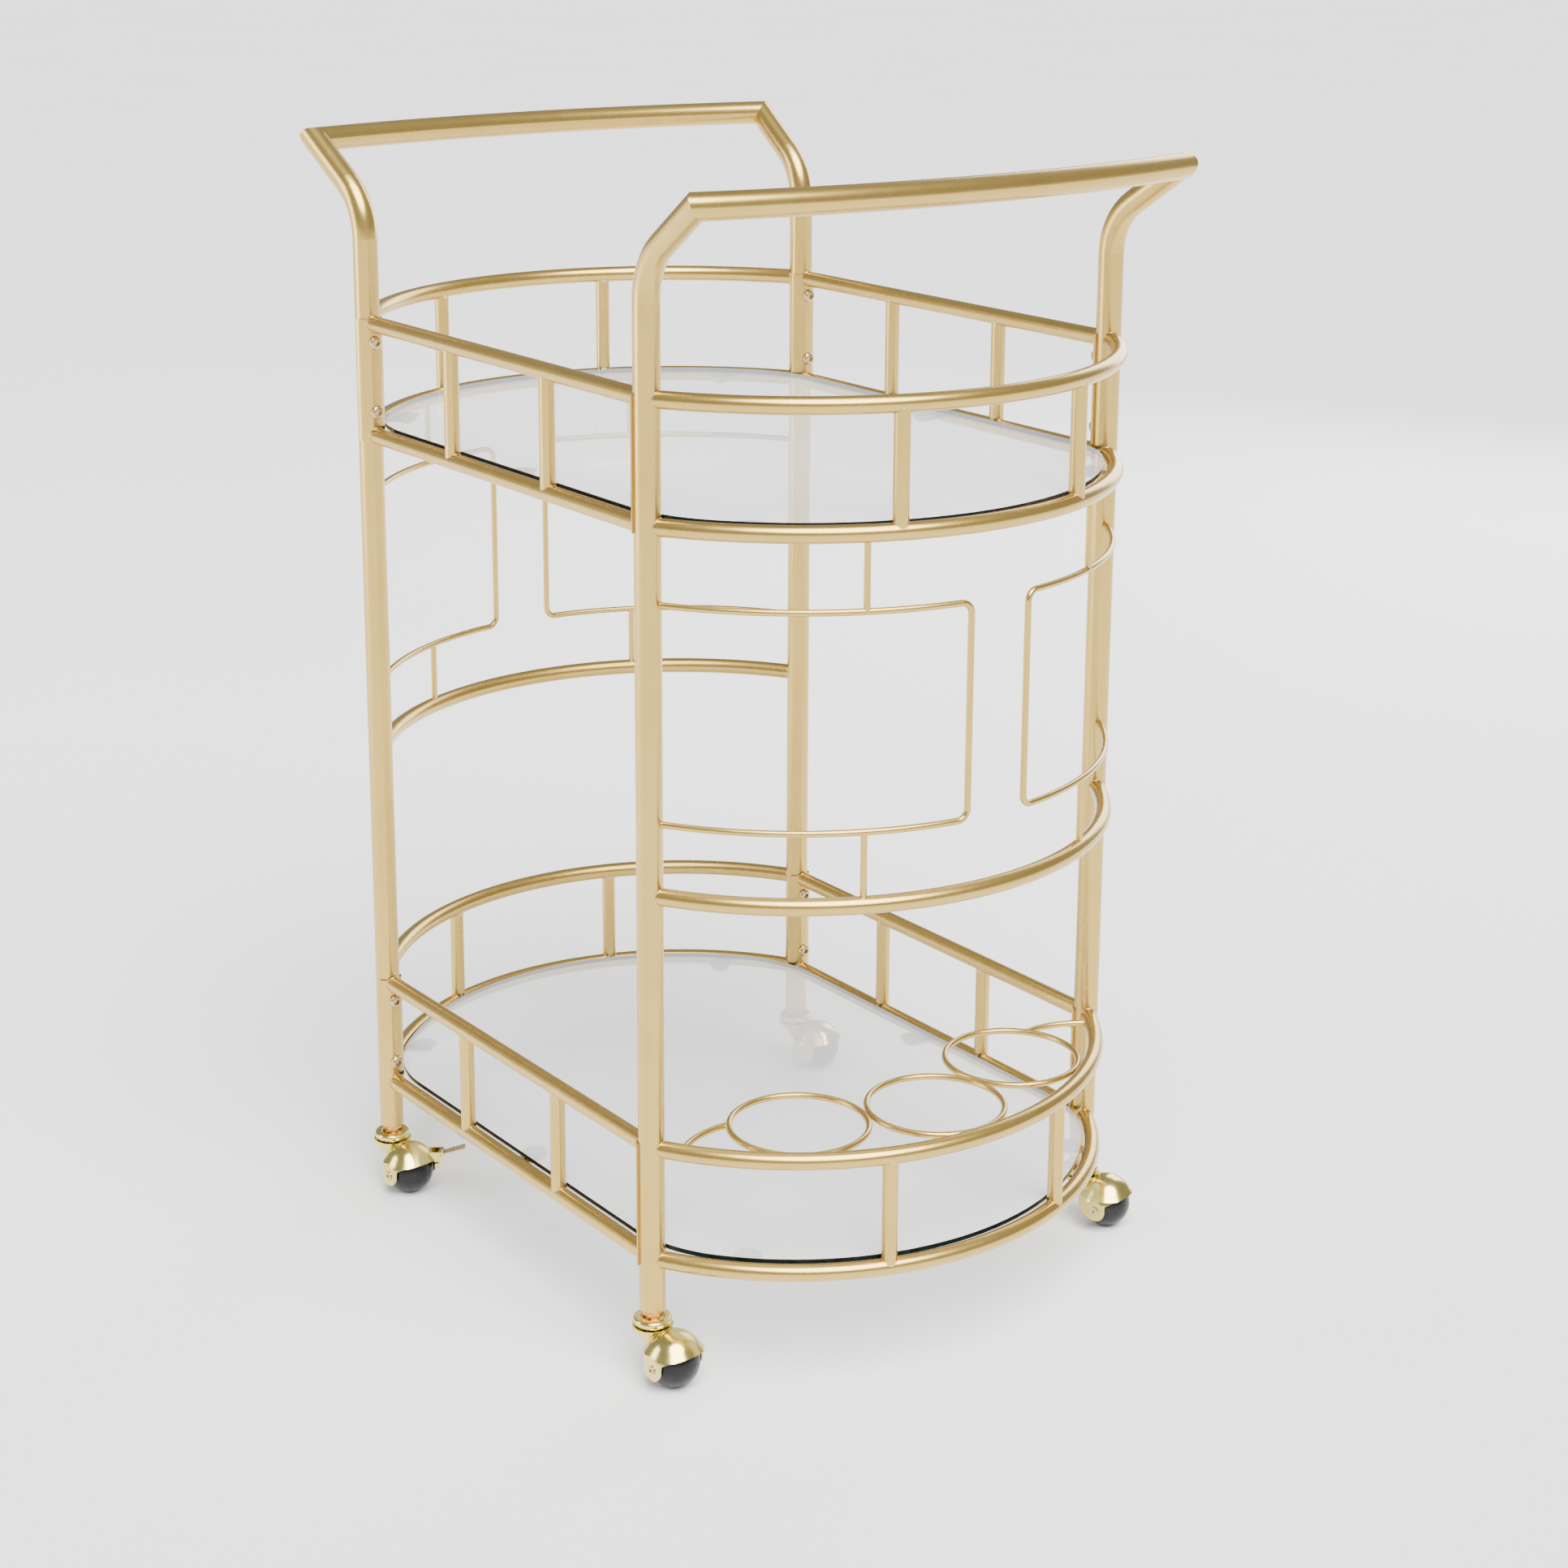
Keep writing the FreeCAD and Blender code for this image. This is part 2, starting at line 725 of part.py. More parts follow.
def neck_form(shrink):
    """The throat between the race plate and the hood, narrowed by shrink for its inside."""
    sections = []
    for x, z, radius in (
        (0, race_bottom_z + bore_allowance, race_r),
        (neck_mid_x, neck_mid_z, neck_mid_r),
        (neck_low_x, neck_low_z, neck_low_r),
    ):
        circle = Part.Circle(vec(x, 0, z), Z_AXIS, radius - shrink)
        sections.append(Part.Wire(circle.toShape()))
    return Part.makeLoft(sections, True)


def hood_profile():
    """The side outline that the hood is trimmed to, seen along the axle."""
    ball = vec(caster_trail, 0, ball_z)
    far = 4 * hood_r
    lip = ball + vec(lip_reach, 0, lip_height)
    notch = ball + vec(tongue_r, 0, notch_height)
    lip_bend = ball + vec(tongue_r + lip_bend_reach, 0, lip_bend_height)
    tongue_front = ball + vec(tongue_r, 0, 0)
    tongue_bottom = ball + vec(0, 0, -tongue_r)
    a = math.radians(tongue_back_angle)
    tongue_back = ball + vec(tongue_r * math.cos(a), 0, tongue_r * math.sin(a))
    neck_foot = vec(neck_low_x - neck_low_r, 0, neck_low_z)
    lip_curve = Part.BezierCurve()
    lip_curve.setPoles([lip, lip_bend, notch])
    tip = lip + vec(hood_r, 0, lip_flare)
    edges = [
        Part.makeLine(tip, lip),
        lip_curve.toShape(),
        Part.makeLine(notch, tongue_front),
        Part.Arc(tongue_front, tongue_bottom, tongue_back).toShape(),
        Part.makeLine(tongue_back, neck_foot),
        Part.makeLine(neck_foot, vec(-far, 0, neck_low_z)),
        Part.makeLine(vec(-far, 0, neck_low_z), vec(-far, 0, far)),
        Part.makeLine(vec(-far, 0, far), vec(tip.x, 0, far)),
        Part.makeLine(vec(tip.x, 0, far), tip),
    ]
    face = Part.Face(Part.Wire(edges))
    prism = face.extrude(vec(0, 4 * hood_r, 0))
    prism.translate(vec(0, -2 * hood_r, 0))
    return prism


def make_hood():
    """The stamped brass housing: race plate, throat, dome and the two axle tongues."""
    low = ball_z - ball_d
    shell = hood_form(hood_r, hood_half_width, low)
    race = Part.makeCylinder(race_r, race_t, vec(0, 0, race_bottom_z))
    inside = hood_form(hood_r - hood_wall, hood_half_width - hood_wall, low - bore_allowance)
    web = Part.makeCylinder(cap_r + 2 * race_gap + hood_wall, hood_r, vec(0, 0, race_top_z - hood_wall))
    inside = inside.cut(web)
    throat = neck_form(neck_wall)
    hood = shell.fuse(neck_form(0)).common(hood_profile())
    hood = hood.cut(inside).cut(throat)
    above = Part.makeCylinder(cap_r + 2 * race_gap, hood_r, vec(0, 0, race_top_z))
    hood = hood.cut(above).fuse(race)
    stem_hole_base = vec(0, 0, race_bottom_z - race_t)
    hood = hood.cut(Part.makeCylinder(stem_d / 2 + stem_clearance, 4 * race_t, stem_hole_base))
    hood = hood.cut(bearing_track())
    axle_hole = rod(vec(caster_trail, -hood_r, ball_z), vec(caster_trail, hood_r, ball_z), axle_d)
    hood = hood.cut(axle_hole)
    return max(hood.Solids, key=lambda solid: solid.Volume)


def bearing_track():
    return Part.makeTorus(bearing_pitch_r, bearing_ball_d / 2 + bearing_clearance, vec(0, 0, bearing_z))


def make_bearing_balls():
    balls = []
    for index in range(bearing_ball_count):
        a = 2 * math.pi * index / bearing_ball_count
        place = vec(bearing_pitch_r * math.cos(a), bearing_pitch_r * math.sin(a), bearing_z)
        balls.append(Part.makeSphere(bearing_ball_d / 2, place))
    return balls


def make_race_cap():
    """The rounded upper race, fixed to the stem."""
    cap = Part.makeCylinder(cap_r, cap_t, vec(0, 0, cap_bottom_z))
    outer = [e for e in cap.Edges if abs(e.Length - 2 * math.pi * cap_r) < match_tolerance]
    cap = cap.makeFillet(cap_round, outer)
    dish_base = vec(0, 0, cap_top_z - dish_depth)
    dish = Part.makeCone(dish_low_d / 2, dish_top_d / 2, dish_depth, dish_base)
    cap = cap.cut(dish).cut(bearing_track())
    return cap.cut(Part.makeCylinder(stem_d / 2, cap_t, vec(0, 0, cap_bottom_z)))


def make_stem():
    """The caster's stem: threaded shank, hex collar under the post and riveted foot."""
    head_top = race_bottom_z - stem_head_gap
    shank = Part.makeCylinder(stem_d / 2, post_bottom_z + stem_in_post - head_top, vec(0, 0, head_top))
    foot = Part.makeCylinder(stem_head_d / 2, stem_head_t, vec(0, 0, head_top - stem_head_t))
    collar_bottom = cap_top_z - dish_depth
    points = [vec(x, y, collar_bottom) for x, y in hexagon(collar_across_flats)]
    collar = Part.Face(Part.makePolygon(points)).extrude(Z_AXIS * (post_bottom_z - collar_bottom))
    return shank.fuse(foot).fuse(collar)


def make_plug():
    """The threaded plug fixed inside the bottom of a post."""
    base = vec(0, 0, post_bottom_z)
    plug = Part.makeCylinder(post_d / 2 - post_wall, plug_length, base)
    return plug.cut(Part.makeCylinder(stem_d / 2 + thread_clearance, plug_length, base))


def make_ball():
    centre = vec(caster_trail, 0, ball_z)
    ball = Part.makeSphere(ball_d / 2, centre)
    bore = rod(centre - vec(0, ball_d, 0), centre + vec(0, ball_d, 0), axle_d + 2 * axle_clearance)
    return ball.cut(bore)


def make_axle():
    """A rivet through both tongues, with a dimple in each head."""
    centre = vec(caster_trail, 0, ball_z)
    reach = hood_half_width + rivet_head_t
    axle = rod(centre - vec(0, reach, 0), centre + vec(0, reach, 0), axle_d)
    for side in (-1, 1):
        seat = centre + vec(0, side * hood_half_width, 0)
        end = centre + vec(0, side * reach, 0)
        axle = axle.fuse(rod(seat, end, rivet_head_d))
        axle = axle.cut(rod(end, end - vec(0, side * rivet_dimple_depth, 0), rivet_dimple_d))
    return axle


# ---- brake, made facing +X from the ball centre and then turned to its place

def brake_frame(shape):
    """Turn a brake piece to its azimuth around the ball and move it to the ball centre."""
    shape.rotate(vec(0, 0, 0), Z_AXIS, brake_azimuth)
    shape.translate(vec(caster_trail, 0, ball_z))
    return shape


def brake_dome(grow):
    """The outside of the hood, grown evenly and moved to the brake's own frame."""
    dome = hood_round(hood_r + grow, ball_z)
    dome.translate(vec(-caster_trail, 0, -ball_z))
    return dome


def make_brake_bracket():
    """A curved plate on the hood with two ears for the pivot pin."""
    half = brake_plate_width / 2
    span = box_between(vec(0, -half, brake_ear_bottom), vec(hood_r * 2, half, brake_ear_top))
    plate = brake_dome(brake_plate_t).cut(brake_dome(0)).common(span)
    bracket = plate
    reach = hood_r + brake_ear_reach
    for side in (-1, 1):
        low_y = half - brake_ear_t if side > 0 else -half
        ear = box_between(vec(0, low_y, brake_ear_bottom), vec(reach, low_y + brake_ear_t, brake_ear_top))
        bracket = bracket.fuse(ear.cut(brake_dome(0)).common(span))
    bracket = bracket.cut(brake_pin_rod(half * 3, brake_pin_d))
    return brake_frame(max(bracket.Solids, key=lambda solid: solid.Volume))


def brake_pin_rod(length, diameter):
    x = hood_r + brake_pin_reach
    return rod(vec(x, -length / 2, brake_pin_z), vec(x, length / 2, brake_pin_z), diameter)


def make_brake_pin():
    return brake_frame(brake_pin_rod(brake_plate_width + brake_ear_t, brake_pin_d))


def make_brake_lever():
    """Pedal, hub and shoe leg in one bent strip."""
    width = brake_plate_width - 2 * brake_ear_t - 2 * brake_side_clearance
    hub_x = hood_r + brake_pin_reach
    hub_low = brake_pin_z - brake_hub_d / 2
    pedal_end_x = hub_x + pedal_length
    pedal_end_z = brake_pin_z + pedal_rise
    pedal = [
        vec(hub_x, 0, brake_pin_z + pedal_t / 2),
        vec(pedal_end_x, 0, pedal_end_z + pedal_t / 2),
        vec(pedal_end_x, 0, pedal_end_z - pedal_t / 2),
        vec(hub_x, 0, brake_pin_z - pedal_t / 2),
    ]
    leg_x = hood_r + leg_offset
    shoe_x = ball_d / 2 + shoe_gap
    shoe_top = leg_bottom + shoe_height
    leg = [
        vec(hub_x, 0, hub_low),
        vec(hub_x + pedal_t, 0, brake_pin_z - pedal_t),
        vec(leg_x + pedal_t + leg_taper, 0, shoe_top),
        vec(leg_x + pedal_t, 0, leg_bottom),
        vec(shoe_x, 0, leg_bottom),
        vec(shoe_x, 0, shoe_top),
        vec(leg_x + leg_step, 0, shoe_top + shoe_blend),
        vec(hub_x - pedal_t, 0, hub_low),
    ]
    lever = brake_pin_rod(width, brake_hub_d)
    for outline in (pedal, leg):
        face = Part.Face(Part.makePolygon(outline + [outline[0]]))
        strip = face.extrude(vec(0, width, 0))
        strip.translate(vec(0, -width / 2, 0))
        lever = lever.fuse(strip)
    lever = lever.cut(brake_pin_rod(brake_plate_width * 2, brake_pin_d + 2 * brake_pin_clearance))
    return brake_frame(lever)


def at_caster(shape, corner_name):
    """Turn a caster piece to its resting direction and stand it under its post."""
    side_x, side_y = corners[corner_name]
    piece = shape.copy()
    piece.rotate(vec(0, 0, 0), Z_AXIS, trail_angles[corner_name])
    piece.translate(vec(side_x * half_x, side_y * half_y, 0))
    return piece


# ---------------------------------------------------------------- the nodes

def write_posts_and_handles():
    post = make_post()
    for name, corner in corners.items():
        write(f"{name}_post", placed(post, corner))
    handle = make_handle()
    write("right_handle", handle)
    write("left_handle", mirror_x(handle))


def write_bowed_ends():
    rails = {
        "upper_gallery_bow": upper_gallery_z,
        "upper_shelf_bow": upper_shelf_z,
        "mid_bow": mid_rail_z,
        "lower_gallery_bow": lower_gallery_z,
        "lower_shelf_bow": lower_shelf_z,
    }
    for name, z in rails.items():
        rail = make_bow_rail(z)
        write(f"right_{name}", rail)
        write(f"left_{name}", mirror_x(rail))
    balusters = make_bow_balusters()
    write("bow_balusters", *balusters, *[mirror_x(b) for b in balusters])
    wire = make_panel_wire()
    for name, corner in corners.items():
        write(f"{name}_panel_wire", placed(wire, corner))
    studs = make_panel_studs()
    write("panel_studs", *studs, *[mirror_x(s) for s in studs])


def write_side_ladders():
    for tier in ("upper", "lower"):
        rails = [make_side_rail(gallery_z[tier]), make_side_rail(shelf_z[tier])]
        write(f"front_{tier}_side_rails", *rails)
        write(f"back_{tier}_side_rails", *[mirror_y(r) for r in rails])
    balusters = make_side_balusters()
    write("front_balusters", *balusters)
    write("back_balusters", *[mirror_y(b) for b in balusters])
    saddles = [make_saddle("upper"), make_saddle("lower")]
    bolts = [make_bolt(z) for z in bolt_heights()]
    inserts = [make_insert(z) for z in bolt_heights()]
    for name, made in (("post_saddles", saddles), ("side_bolts", bolts), ("thread_inserts", inserts)):
        write(name, *[placed(piece, corner) for corner in corners.values() for piece in made])


def write_shelves():
    for tier in ("upper", "lower"):
        write(f"{tier}_glass", make_glass(tier))
    tabs = [make_tab(tier, place) for tier in ("upper", "lower") for place in pad_places()]
    pads = [make_pad(tier, place) for tier in ("upper", "lower") for place in pad_places()]
    write("glass_tabs", *tabs)
    write("glass_pads", *pads)


def write_bottle_rack():
    for name, index in (("front", -1), ("middle", 0), ("back", 1)):
        write(f"bottle_ring_{name}", make_ring(index))
    arm = make_ring_arm()
    write("bottle_ring_arms", arm, mirror_y(arm))


def write_casters():
    hood = make_hood()
    ball = make_ball()
    axle = make_axle()
    for name in corners:
        write(f"{name}_caster_hood", at_caster(hood, name))
        write(f"{name}_caster_ball", at_caster(ball, name))
        write(f"{name}_caster_axle", at_caster(axle, name))
    shared = {
        "caster_stems": [make_stem()],
        "caster_race_caps": [make_race_cap()],
        "caster_bearing_balls": make_bearing_balls(),
        "post_plugs": [make_plug()],
    }
    for node, made in shared.items():
        write(node, *[at_caster(piece, name) for name in corners for piece in made])
    write("brake_bracket", at_caster(make_brake_bracket(), brake_caster))
    write("brake_pin", at_caster(make_brake_pin(), brake_caster))
    write("brake_lever", at_caster(make_brake_lever(), brake_caster))


os.makedirs("parts", exist_ok=True)
write_posts_and_handles()
write_bowed_ends()
write_side_ladders()
write_shelves()
write_bottle_rack()
write_casters()
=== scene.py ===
import json
import math
import random

import bmesh
import bpy
from mathutils import Euler, Matrix, Vector


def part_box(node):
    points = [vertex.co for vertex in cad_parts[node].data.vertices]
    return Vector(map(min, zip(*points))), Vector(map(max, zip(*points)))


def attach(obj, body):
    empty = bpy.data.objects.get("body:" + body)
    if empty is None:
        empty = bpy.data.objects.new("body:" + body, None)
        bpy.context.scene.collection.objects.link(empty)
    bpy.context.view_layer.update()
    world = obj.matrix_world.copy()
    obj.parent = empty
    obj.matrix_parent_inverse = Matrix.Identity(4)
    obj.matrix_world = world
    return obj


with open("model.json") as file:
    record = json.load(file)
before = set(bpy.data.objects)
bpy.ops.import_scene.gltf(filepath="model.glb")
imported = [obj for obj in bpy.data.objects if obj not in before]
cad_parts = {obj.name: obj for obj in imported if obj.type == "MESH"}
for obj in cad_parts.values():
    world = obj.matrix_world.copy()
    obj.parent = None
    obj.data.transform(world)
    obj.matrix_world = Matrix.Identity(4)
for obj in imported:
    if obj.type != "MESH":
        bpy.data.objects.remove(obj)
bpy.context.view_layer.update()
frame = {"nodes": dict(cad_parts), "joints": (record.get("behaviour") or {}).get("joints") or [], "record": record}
NODES = frame["nodes"]

# ------------------------------------------------------------ what the CAD says, in metres
JOINTS = {j["name"]: j for j in frame["joints"]}
CORNERS = ("left_front", "right_front", "left_back", "right_back")
POSTS = {c: Vector(JOINTS[f"{c}_swivel_turn"]["pos_m"]) for c in CORNERS}
HALF_X = POSTS["right_back"].x
HALF_Y = POSTS["right_back"].y
TIERS = (("upper_shelf_bow", "upper_gallery_bow"), ("lower_shelf_bow", "lower_gallery_bow"))
RAIL_NODES = ("upper_gallery_bow", "upper_shelf_bow", "mid_bow", "lower_gallery_bow", "lower_shelf_bow")


def middle(node):
    low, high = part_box(node)
    return (low + high) / 2


def height(node):
    low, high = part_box(node)
    return high.z - low.z


RAIL_Z = {name: middle(f"right_{name}").z for name in RAIL_NODES}
RAIL_R = height("right_mid_bow") / 2
BOW_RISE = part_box("right_mid_bow")[1].x - RAIL_R - HALF_X
BOW_R = (HALF_Y ** 2 + BOW_RISE ** 2) / (2 * BOW_RISE)
BOW_X = HALF_X + BOW_RISE - BOW_R               # the centre of a bowed rail's arc
BOW_END_ANGLE = math.atan2(HALF_Y, HALF_X - BOW_X)
POST_R = 0.0095
SADDLE_R = 0.0111                               # a saddle's outer face, about the post's axis
BALUSTER_R = 0.00575
BALUSTER_ANGLE = math.radians(19.5)             # on the bows, about the arc's centre
BALUSTER_X = 0.066                              # on the sides, from the middle
UP = Vector((0, 0, 1))
ALONG = Vector((1, 0, 0))

# ------------------------------------------------------------ welds, in metres
RAIL_SEAM_R = 0.00042
BALUSTER_SEAM_R = 0.00036
SEAM_STEPS = 36
SEAM_UNEVEN = (0.75, 1.2)                       # of the seam's radius
BEAD_R = 0.0021
BEAD_SHIFTS = (-0.45, 0.45)                     # of the bead's radius, along the rail
BEAD_SPREAD = (0.9, 1.25)                       # of the shift
BEAD_SHAPE = (0.95, 0.62, 0.8)                  # along the rail, out of the corner, across it
BEAD_OUT = (0.78, 0.62)                         # the way out of the corner: inward, along the baluster
BEAD_PLACE = (0.72, 0.92)                       # of the rail's radius: inward, along the baluster
LUMP_DEPTH = 0.10                               # of the bead's radius
LUMP_WAVE = 2600                                # radians per metre
LUMP_PHASE = 9
LUMP_NOISE = 0.012                              # of the bead's radius

# ------------------------------------------------------------ looks
GRAIN_STRENGTH = 0.06
EDGE_TO_FACE = (0.55, 0.85)                     # how level a glass surface is: ground edge, clear face
FACE_ALPHA = 0.38

# ------------------------------------------------------------ room and camera, in metres and degrees
FLOOR_HALF = 40.0
FLOOR_CELLS = 8
WORLD_STRENGTH = 0.42
SUN_DOWN = 58.0
SUN_AZIMUTH = 75.0
SUN_STRENGTH = 8.5
SUN_WIDTH = 50.0
SOFTBOX_AIM = (0, 0, 0.5)
SOFTBOX_POWER = 60.0
LENS = 65.95
SENSOR = 36.0
LENS_SHIFT = -0.13
CAMERA_PLACE = (1.7489, -1.2573, 1.0737)
CAMERA_AZIMUTH = 53.236
CAMERA_DOWN = 14.367
CAMERA_ROLL = 0.317
CAMERA_REACH = 100.0


# ------------------------------------------------------------ material helpers

def new_material(name):
    material = bpy.data.materials.new(name)
    material.use_nodes = True
    tree = material.node_tree
    return material, tree, tree.nodes["Principled BSDF"]


def grey(value):
    return (value,) * 3


def add(tree, kind, **sockets):
    node = tree.nodes.new(kind)
    for key, value in sockets.items():
        node.inputs[key].default_value = value
    return node


def noise(tree, scale, detail=3.0, rough=0.5):
    """Cloudy noise in the piece's own coordinates."""
    node = add(tree, "ShaderNodeTexNoise", Scale=scale, Detail=detail, Roughness=rough)
    coordinates = tree.nodes.new("ShaderNodeTexCoord")
    tree.links.new(coordinates.outputs["Object"], node.inputs["Vector"])
    return node.outputs["Fac"]


def ramp(tree, source, stops):
    """The colour that two stops, each a place and a colour, give to a source."""
    node = tree.nodes.new("ShaderNodeValToRGB")
    for element, (place, colour) in zip(node.color_ramp.elements, stops):
        element.position = place
        element.color = (*colour, 1.0)
    tree.links.new(source, node.inputs["Fac"])
    return node.outputs["Color"]


def vary(tree, socket, source, stops):
    """Drive a shader's socket by a source through a ramp."""
    tree.links.new(ramp(tree, source, stops), socket)


def bump(tree, shader, source, strength, distance):
    node = add(tree, "ShaderNodeBump", Strength=strength, Distance=distance)
    tree.links.new(source, node.inputs["Height"])
    tree.links.new(node.outputs["Normal"], shader.inputs["Normal"])


def metal(name, colours, roughness, metallic=1.0, grain=900.0, grain_depth=0.00003, patch=22.0):
    """A coated or plated metal: cloudy colour, uneven gloss and a fine grain."""
    material, tree, shader = new_material(name)
    shader.inputs["Metallic"].default_value = metallic
    cloud = noise(tree, patch, 4.0, 0.6)
    vary(tree, shader.inputs["Base Color"], cloud, [(0.3, colours[0]), (0.7, colours[1])])
    gloss = noise(tree, patch * 4, 5.0, 0.65)
    vary(tree, shader.inputs["Roughness"], gloss, [(0.25, grey(roughness[0])), (0.8, grey(roughness[1]))])
    bump(tree, shader, noise(tree, grain, 2.0, 0.5), GRAIN_STRENGTH, grain_depth)
    return material


# ------------------------------------------------------------ materials

def make_gold():
    """Champagne gold: a satin, slightly pearly coat on steel tube."""
    material = metal("champagne_gold", ((0.555, 0.375, 0.096), (0.60, 0.41, 0.115)), (0.255, 0.285),
                     metallic=0.95, grain_depth=0.00001)
    shader = material.node_tree.nodes["Principled BSDF"]
    shader.inputs["Coat Weight"].default_value = 0.12
    shader.inputs["Coat Roughness"].default_value = 0.2
    return material


def make_brass():
    """Bright brass plate on the casters."""
    return metal("caster_brass", ((0.66, 0.545, 0.165), (0.74, 0.625, 0.215)), (0.15, 0.25),
                 grain=700.0, grain_depth=0.00002, patch=60.0)


def make_copper():
    return metal("collar_copper", ((0.55, 0.29, 0.10), (0.72, 0.44, 0.19)), (0.18, 0.34),
                 grain=600.0, patch=140.0)


def make_steel(name, colours):
    return metal(name, colours, (0.22, 0.36), grain=800.0, patch=90.0)


def make_weld():
    """Coated weld metal: rippled, a touch brighter than the tube."""
    return metal("weld_gold", ((0.56, 0.40, 0.19), (0.70, 0.54, 0.31)), (0.20, 0.36),
                 metallic=0.9, grain=500.0, grain_depth=0.0002, patch=300.0)


def make_ball():
    """Black moulded plastic with a soft gloss and fine scuffs."""
    material, tree, shader = new_material("ball_black")
    cloud = noise(tree, 120.0, 5.0, 0.65)
    blacks = [(0.35, (0.0045, 0.004, 0.005)), (0.75, (0.010, 0.009, 0.011))]
    vary(tree, shader.inputs["Base Color"], cloud, blacks)
    scuffs = noise(tree, 260.0, 6.0, 0.7)
    vary(tree, shader.inputs["Roughness"], scuffs, [(0.3, grey(0.22)), (0.8, grey(0.42))])
    shader.inputs["Specular IOR Level"].default_value = 0.3
    bump(tree, shader, noise(tree, 500.0, 3.0, 0.5), 0.2, 0.00004)
    return material


def make_plug():
    """Dark nylon."""
    material, tree, shader = new_material("plug_nylon")
    vary(tree, shader.inputs["Base Color"], noise(tree, 200.0), [(0.3, grey(0.02)), (0.7, grey(0.045))])
    shader.inputs["Roughness"].default_value = 0.55
    bump(tree, shader, noise(tree, 900.0), 0.3, 0.00004)
    return material


def make_glass():
    """Clear float glass with a dark ground edge; its face is a pale, partly see-through colour, a painted
    reflection of the pale room.
    """
    material, tree, shader = new_material("shelf_glass")
    geometry = tree.nodes.new("ShaderNodeNewGeometry")
    split = tree.nodes.new("ShaderNodeSeparateXYZ")
    tree.links.new(geometry.outputs["Normal"], split.inputs["Vector"])
    level = tree.nodes.new("ShaderNodeMath")
    level.operation = "ABSOLUTE"
    tree.links.new(split.outputs["Z"], level.inputs[0])
    # painted reflection: the face's pale, slightly blue colour stands in for the pale room seen in the glass,
    # varying in broad clouds
    painted_reflection_cloud = noise(tree, 3.0, 2.0, 0.5)
    face = ramp(tree, painted_reflection_cloud, [(0.3, (0.90, 0.92, 0.95)), (0.7, (0.93, 0.945, 0.97))])
    grinding = noise(tree, 160.0, 3.0, 0.6)
    edge = ramp(tree, grinding, [(0.35, (0.003, 0.006, 0.008)), (0.75, (0.010, 0.020, 0.022))])
    is_edge, is_face = EDGE_TO_FACE
    blend = tree.nodes.new("ShaderNodeMix")
    blend.data_type = "RGBA"
    vary(tree, blend.inputs["Factor"], level.outputs[0], [(is_edge, grey(0.0)), (is_face, grey(1.0))])
    # the ground edge keeps its own dark colour; the face takes the painted reflection of the room
    tree.links.new(edge, blend.inputs["A"])
    tree.links.new(face, blend.inputs["B"])
    tree.links.new(blend.outputs["Result"], shader.inputs["Base Color"])
    vary(tree, shader.inputs["Alpha"], level.outputs[0], [(is_edge, grey(1.0)), (is_face, grey(FACE_ALPHA))])
    smudges = noise(tree, 14.0, 5.0, 0.6)
    vary(tree, shader.inputs["Roughness"], smudges, [(0.3, grey(0.03)), (0.8, grey(0.09))])
    shader.inputs["IOR"].default_value = 1.5
    return material


def make_pad():
    """Clear soft vinyl."""
    material, tree, shader = new_material("pad_vinyl")
    cloud = noise(tree, 300.0)
    vary(tree, shader.inputs["Base Color"], cloud, [(0.3, (0.42, 0.44, 0.42)), (0.7, (0.58, 0.60, 0.57))])
    shader.inputs["Roughness"].default_value = 0.16
    shader.inputs["Alpha"].default_value = 0.72
    bump(tree, shader, noise(tree, 700.0), 0.2, 0.00005)
    return material


def make_floor():
    material, tree, shader = new_material("pale_floor")
    vary(tree, shader.inputs["Base Color"], noise(tree, 1.5, 2.0), [(0.3, grey(0.90)), (0.7, grey(0.92))])
    shader.inputs["Roughness"].default_value = 0.7
    return material


SLOT_MATERIALS = {
    "gold_frame": make_gold(),
    "shelf_glass": make_glass(),
    "clear_pad": make_pad(),
    "ball_plastic": make_ball(),
    "caster_brass": make_brass(),
    "stem_copper": make_copper(),
    "plated_steel": make_steel("plated_steel", ((0.52, 0.42, 0.24), (0.66, 0.56, 0.36))),
    "bolt_gold": make_steel("bolt_gold", ((0.50, 0.36, 0.18), (0.62, 0.47, 0.26))),
    "plug_plastic": make_plug(),
}
WELD = make_weld()

NODE_SLOT = {s["node"]: s["material_slot"] for s in frame["record"]["subparts"]}
for node_name, node_object in NODES.items():
    node_object.data.materials.clear()
    node_object.data.materials.append(SLOT_MATERIALS[NODE_SLOT[node_name]])


# ------------------------------------------------------------ weld seams

def seam_points(centre, axis, main_r, direction, branch_r):
    """The line where a round branch, leaving centre along direction, meets a round main tube."""
    u = axis.cross(direction).normalized()
    v = direction.cross(u).normalized()
    flat = direction - axis * direction.dot(axis)
    points = []
    for step in range(SEAM_STEPS):
        angle = 2 * math.pi * step / SEAM_STEPS
        side = (u * math.cos(angle) + v * math.sin(angle)) * branch_r
        side_flat = side - axis * side.dot(axis)
        qa = flat.dot(flat)
        qb = 2 * flat.dot(side_flat)
        qc = side_flat.dot(side_flat) - main_r ** 2
        root = max(qb * qb - 4 * qa * qc, 0.0)
        reach = (-qb + math.sqrt(root)) / (2 * qa)
        points.append(centre + direction * reach + side)
    return points


def add_to_frame(name, data):
    """A piece of weld metal, fixed to the cart's frame."""
    data.materials.append(WELD)
    piece = bpy.data.objects.new(name, data)
    bpy.context.scene.collection.objects.link(piece)
    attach(piece, "frame")


